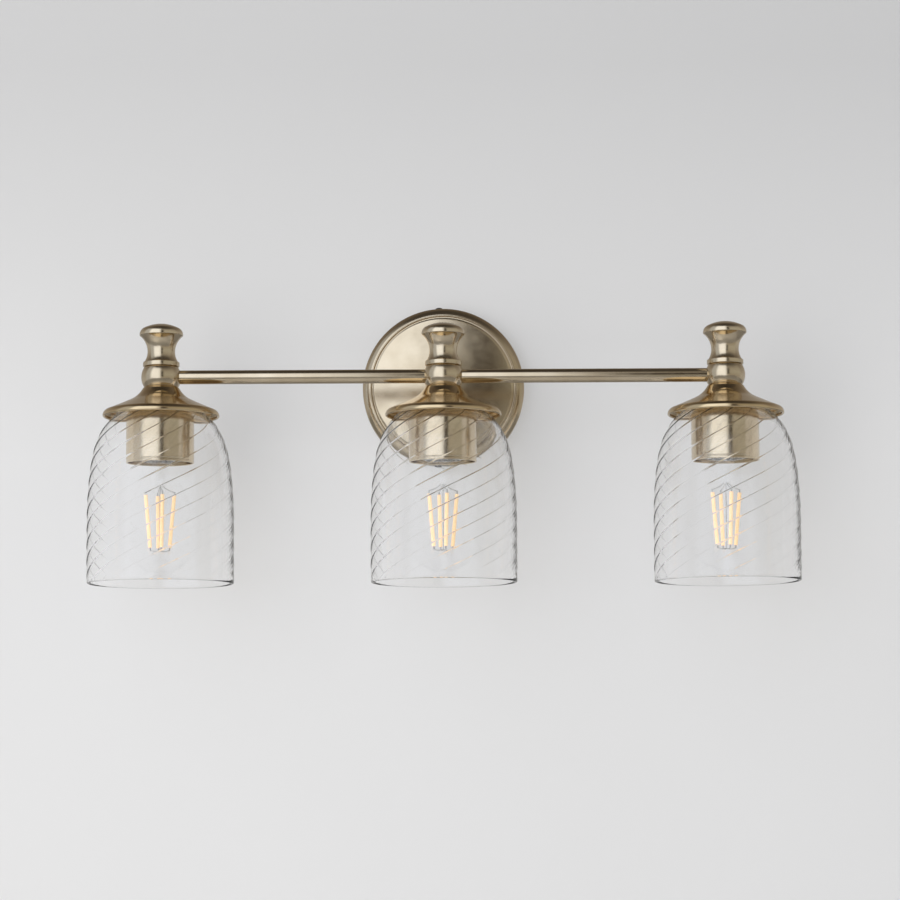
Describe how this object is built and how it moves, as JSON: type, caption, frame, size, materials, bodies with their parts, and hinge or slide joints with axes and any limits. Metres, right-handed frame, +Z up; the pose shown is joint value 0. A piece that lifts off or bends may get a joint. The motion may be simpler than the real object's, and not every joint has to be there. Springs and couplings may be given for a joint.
{
  "type": "vanity light bar",
  "caption": "Wall light bar: turned brass hubs and finials on a tube, flared caps over clear swirled bell glasses with filament bulbs, round canopy.",
  "frame": {"origin": "centre of the canopy's back, on the wall plane", "axes": "+Z up, +X to the right along the bar as seen from the front, -Y out of the wall towards the viewer"},
  "size_m": [0.5108, 0.1284, 0.2103],
  "materials": {
    "satin_brass": "satin antique brass, finely brushed",
    "polished_brass": "polished antique brass",
    "dark_screw": "dark bronze",
    "zinc_steel": "zinc plated",
    "green_screw": "green lacquer",
    "raw_brass": "plain",
    "clear_glass": "clear, with thin swirled ribs",
    "bulb_glass": "clear",
    "bulb_metal": "nickel plated",
    "solder": "soft solder",
    "black_insulator": "black vitrified",
    "amber_filament": "phosphor coated",
    "porcelain": "white glaze",
    "gasket_rubber": "matte",
    "black_wire": "insulation",
    "white_wire": "insulation",
    "green_wire": "insulation",
    "orange_cap": "moulded"
  },
  "bodies": {
    "fixture": {"canopy": "satin_brass", "arm_tube": "satin_brass", "arm_collar": "satin_brass", "bar_left": "satin_brass", "bar_right": "satin_brass", "hub_left": "satin_brass", "hub_centre": "satin_brass", "hub_right": "satin_brass", "socket_cup_left": "satin_brass", "socket_cup_centre": "satin_brass", "socket_cup_right": "satin_brass", "shade_cap_left": "polished_brass", "shade_cap_centre": "polished_brass", "shade_cap_right": "polished_brass", "canopy_side_screws": "dark_screw", "mounting_strap": "zinc_steel", "arm_nipple": "zinc_steel", "arm_nut": "zinc_steel", "head_nipples": "zinc_steel", "cap_spacers": "zinc_steel", "cup_lock_nuts": "zinc_steel", "ground_screw": "green_screw", "ground_lug": "raw_brass", "screw_shells": "raw_brass", "centre_contacts": "raw_brass", "shade_left": "clear_glass", "shade_centre": "clear_glass", "shade_right": "clear_glass", "lamp_holder_left": "porcelain", "lamp_holder_centre": "porcelain", "lamp_holder_right": "porcelain", "shade_gaskets": "gasket_rubber", "live_wires": "black_wire", "neutral_wires": "white_wire", "ground_wire": "green_wire", "wire_nuts": "orange_cap"},
    "bulb_left_travel": {"bulb_contact_left": "solder", "bulb_insulator_left": "black_insulator"},
    "bulb_left": {"bulb_base_left": "bulb_metal", "bulb_glass_left": "bulb_glass", "bulb_stem_left": "bulb_glass", "bulb_filaments_left": "amber_filament"},
    "finial_left_travel": {"finial_stud_left": "zinc_steel"},
    "finial_left_knob": {"finial_left": "satin_brass"},
    "bulb_centre_travel": {"bulb_contact_centre": "solder", "bulb_insulator_centre": "black_insulator"},
    "bulb_centre": {"bulb_base_centre": "bulb_metal", "bulb_glass_centre": "bulb_glass", "bulb_stem_centre": "bulb_glass", "bulb_filaments_centre": "amber_filament"},
    "finial_centre_travel": {"finial_stud_centre": "zinc_steel"},
    "finial_centre_knob": {"finial_centre": "satin_brass"},
    "bulb_right_travel": {"bulb_contact_right": "solder", "bulb_insulator_right": "black_insulator"},
    "bulb_right": {"bulb_base_right": "bulb_metal", "bulb_glass_right": "bulb_glass", "bulb_stem_right": "bulb_glass", "bulb_filaments_right": "amber_filament"},
    "finial_right_travel": {"finial_stud_right": "zinc_steel"},
    "finial_right_knob": {"finial_right": "satin_brass"}
  },
  "joints": [
    {"name": "bulb_left_slide", "type": "slide", "parent": "fixture", "child": "bulb_left_travel", "axis": [0, 0, -1], "range_m": [0, 0.02177]},
    {"name": "bulb_left_unscrew", "type": "hinge", "parent": "bulb_left_travel", "child": "bulb_left", "pos_m": [-0.203, -0.076, -0.0624], "axis": [0, 0, -1], "range_deg": [0, 2163]},
    {"name": "finial_left_slide", "type": "slide", "parent": "fixture", "child": "finial_left_travel", "axis": [0, 0, 1], "range_m": [0, 0.004]},
    {"name": "finial_left_unscrew", "type": "hinge", "parent": "finial_left_travel", "child": "finial_left_knob", "pos_m": [-0.203, -0.076, 0.0076], "axis": [0, 0, 1], "range_deg": [0, 1443]},
    {"name": "bulb_centre_slide", "type": "slide", "parent": "fixture", "child": "bulb_centre_travel", "axis": [0, 0, -1], "range_m": [0, 0.02177]},
    {"name": "bulb_centre_unscrew", "type": "hinge", "parent": "bulb_centre_travel", "child": "bulb_centre", "pos_m": [0, -0.076, -0.0624], "axis": [0, 0, -1], "range_deg": [0, 2163]},
    {"name": "finial_centre_slide", "type": "slide", "parent": "fixture", "child": "finial_centre_travel", "axis": [0, 0, 1], "range_m": [0, 0.004]},
    {"name": "finial_centre_unscrew", "type": "hinge", "parent": "finial_centre_travel", "child": "finial_centre_knob", "pos_m": [0, -0.076, 0.0076], "axis": [0, 0, 1], "range_deg": [0, 1443]},
    {"name": "bulb_right_slide", "type": "slide", "parent": "fixture", "child": "bulb_right_travel", "axis": [0, 0, -1], "range_m": [0, 0.02177]},
    {"name": "bulb_right_unscrew", "type": "hinge", "parent": "bulb_right_travel", "child": "bulb_right", "pos_m": [0.203, -0.076, -0.0624], "axis": [0, 0, -1], "range_deg": [0, 2163]},
    {"name": "finial_right_slide", "type": "slide", "parent": "fixture", "child": "finial_right_travel", "axis": [0, 0, 1], "range_m": [0, 0.004]},
    {"name": "finial_right_unscrew", "type": "hinge", "parent": "finial_right_travel", "child": "finial_right_knob", "pos_m": [0.203, -0.076, 0.0076], "axis": [0, 0, 1], "range_deg": [0, 1443]}
  ],
  "couplings": [
    {"joint": "bulb_left_unscrew", "follows": "bulb_left_slide", "rad_per_m": 1731.4},
    {"joint": "finial_left_unscrew", "follows": "finial_left_slide", "rad_per_m": 6283.2},
    {"joint": "bulb_centre_unscrew", "follows": "bulb_centre_slide", "rad_per_m": 1731.4},
    {"joint": "finial_centre_unscrew", "follows": "finial_centre_slide", "rad_per_m": 6283.2},
    {"joint": "bulb_right_unscrew", "follows": "bulb_right_slide", "rad_per_m": 1731.4},
    {"joint": "finial_right_unscrew", "follows": "finial_right_slide", "rad_per_m": 6283.2}
  ]
}
